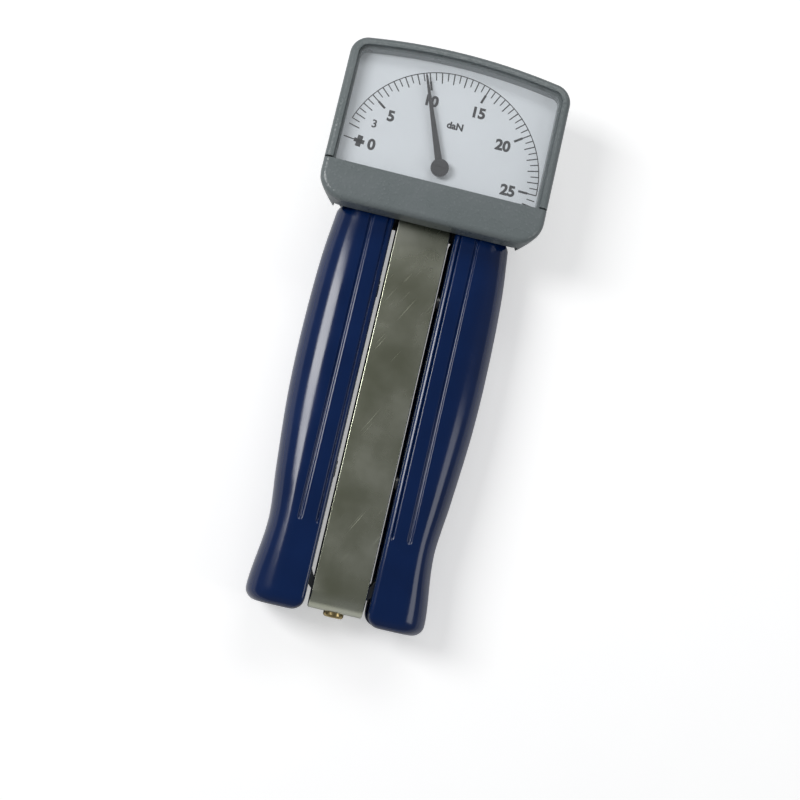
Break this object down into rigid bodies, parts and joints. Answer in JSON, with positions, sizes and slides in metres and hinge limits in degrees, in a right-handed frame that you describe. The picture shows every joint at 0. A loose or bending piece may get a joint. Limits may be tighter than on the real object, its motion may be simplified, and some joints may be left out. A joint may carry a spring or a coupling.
{
  "type": "hand dynamometer",
  "caption": "Squeeze-type hand dynamometer: grey metal head with a force dial and pointer, two blue grips on a U spring, and a steel strap between them.",
  "frame": {"origin": "under the middle of the object on the surface that its back lies on", "axes": "+X across the handle to the reader's right, +Y along the handle towards the head, +Z out of the dial"},
  "size_m": [0.06, 0.152, 0.027],
  "materials": {
    "grey_enamel": "fine hammered grey enamel, glossy",
    "blue_plastic": "glossy moulded plastic",
    "clear_window": "clear, polished",
    "dial_white": "matt white print base",
    "pointer_black": "black paint",
    "bright_steel": "bright, lightly worn",
    "spring_steel": "blued and oiled",
    "yellow_steel": "yellow zinc",
    "plain_steel": "machined",
    "movement_brass": "satin",
    "black_plastic": "matt"
  },
  "bodies": {
    "head": {"front_case": "grey_enamel", "rear_case": "grey_enamel", "window_frame": "grey_enamel", "window_lens": "clear_window", "dial_plate": "dial_white", "dial_screws": "plain_steel", "case_screws": "plain_steel", "strap_top_screws": "plain_steel", "center_strap": "bright_steel", "main_spring": "spring_steel", "saddle_washer": "plain_steel", "anchor_block": "plain_steel", "anchor_nut": "plain_steel", "end_screw": "yellow_steel", "movement_plate": "movement_brass", "movement_bridge": "movement_brass", "movement_pillars": "movement_brass", "movement_screws": "plain_steel", "arbor_bushes": "movement_brass", "stop_pins": "plain_steel", "hairspring_stud": "plain_steel", "hairspring": "spring_steel"},
    "left_handle": {"left_grip": "blue_plastic", "left_grip_screws": "plain_steel", "left_drive_arm": "plain_steel", "left_arm_rivets": "plain_steel", "drive_pin": "plain_steel"},
    "right_handle": {"right_grip": "blue_plastic", "right_grip_screws": "plain_steel", "right_guide_arm": "plain_steel", "right_arm_rivets": "plain_steel"},
    "sector": {"sector_lever": "movement_brass", "sector_arbor": "plain_steel"},
    "pointer_shaft": {"pinion_arbor": "plain_steel", "pointer": "pointer_black", "pointer_hub": "pointer_black", "hairspring_collet": "movement_brass", "return_arm": "plain_steel"},
    "reset_knob_shaft": {"reset_knob": "black_plastic", "knob_clip": "plain_steel", "reset_finger": "plain_steel"}
  },
  "joints": [
    {"name": "left_grip_squeeze", "type": "hinge", "parent": "head", "child": "left_handle", "pos_m": [-0.01, -0.0614, 0.01015], "axis": [0, 0, -1], "range_deg": [-0.3131, 0.5362], "stiffness_Nm_per_rad": 20, "springref_deg": -0.32, "deforming": ["main_spring"]},
    {"name": "right_grip_squeeze", "type": "hinge", "parent": "head", "child": "right_handle", "pos_m": [0.01, -0.0614, 0.01015], "axis": [0, 0, 1], "range_deg": [-0.3141, 0.5372], "deforming": ["main_spring"]},
    {"name": "sector_turn", "type": "hinge", "parent": "head", "child": "sector", "pos_m": [-0.02287, 0.042, 0.0164], "axis": [0, 0, 1], "range_deg": [-6.17, 10.56]},
    {"name": "pointer_turn", "type": "hinge", "parent": "head", "child": "pointer_shaft", "pos_m": [0, 0.0444, 0.0164], "axis": [0, 0, -1], "range_deg": [-64.75, 110.85], "deforming": ["hairspring"]},
    {"name": "reset_knob_turn", "type": "hinge", "parent": "head", "child": "reset_knob_shaft", "pos_m": [0, 0.0444, 0.0023], "axis": [0, 0, 1], "range_deg": [0, 155]}
  ],
  "couplings": [
    {"joint": "right_grip_squeeze", "follows": "left_grip_squeeze", "ratio": 1},
    {"joint": "sector_turn", "follows": "left_grip_squeeze", "ratio": 19.68},
    {"joint": "pointer_turn", "follows": "left_grip_squeeze", "ratio": 206.64}
  ]
}
